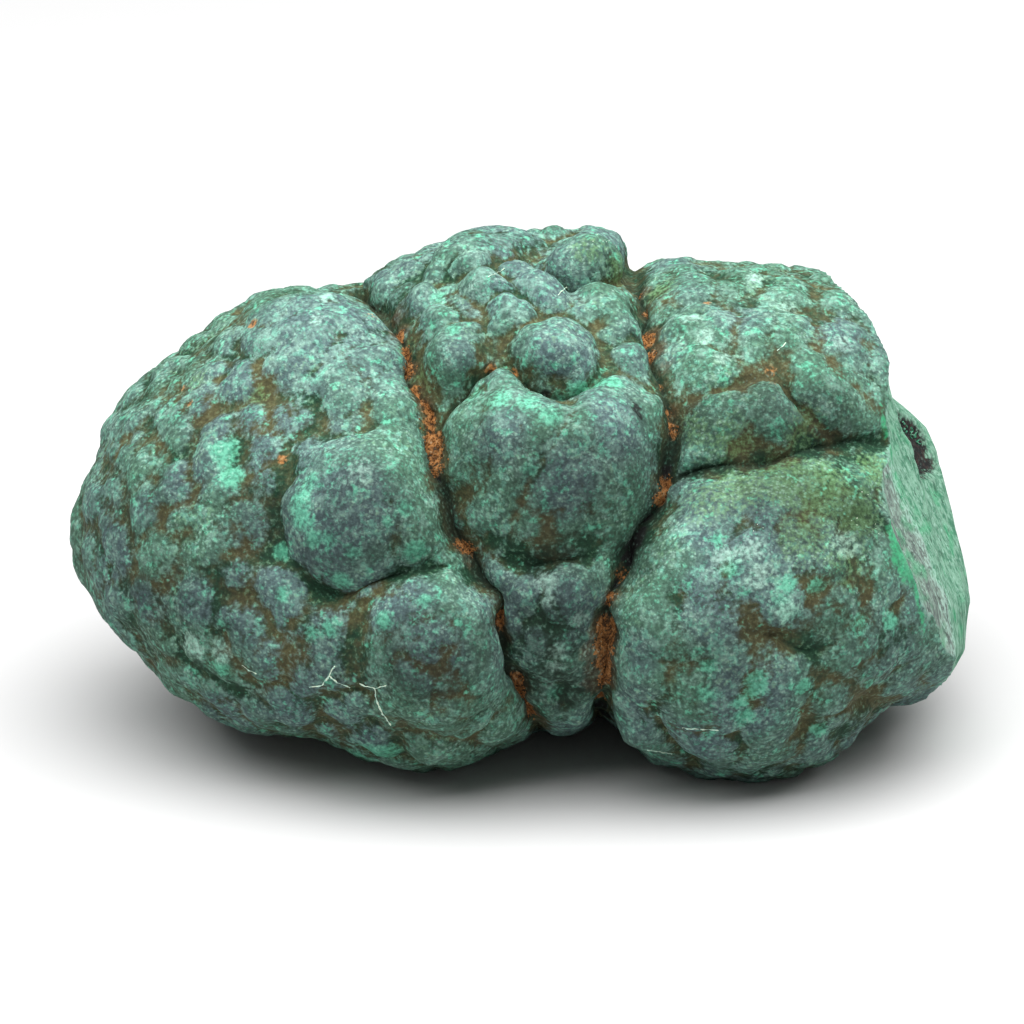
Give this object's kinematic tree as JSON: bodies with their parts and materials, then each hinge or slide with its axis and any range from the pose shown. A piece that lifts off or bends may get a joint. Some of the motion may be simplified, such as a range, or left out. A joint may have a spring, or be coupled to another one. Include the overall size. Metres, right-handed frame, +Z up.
{
  "type": "malachite specimen",
  "caption": "Lobed, knobbly green malachite stone in one piece, broken off at one end, resting on the worn tips of its underside.",
  "frame": {"origin": "middle of the stone's bounding box, on the surface it rests on", "axes": "+X along the stone's length towards its broken end, -Y out of its best face, +Z up"},
  "size_m": [0.0765, 0.0538, 0.043],
  "materials": {
    "malachite": "dull, finely granular, grey-green with mint worn patches and rust clay in its creases"
  },
  "bodies": {
    "root": {"malachite_stone": "malachite"}
  },
  "joints": []
}
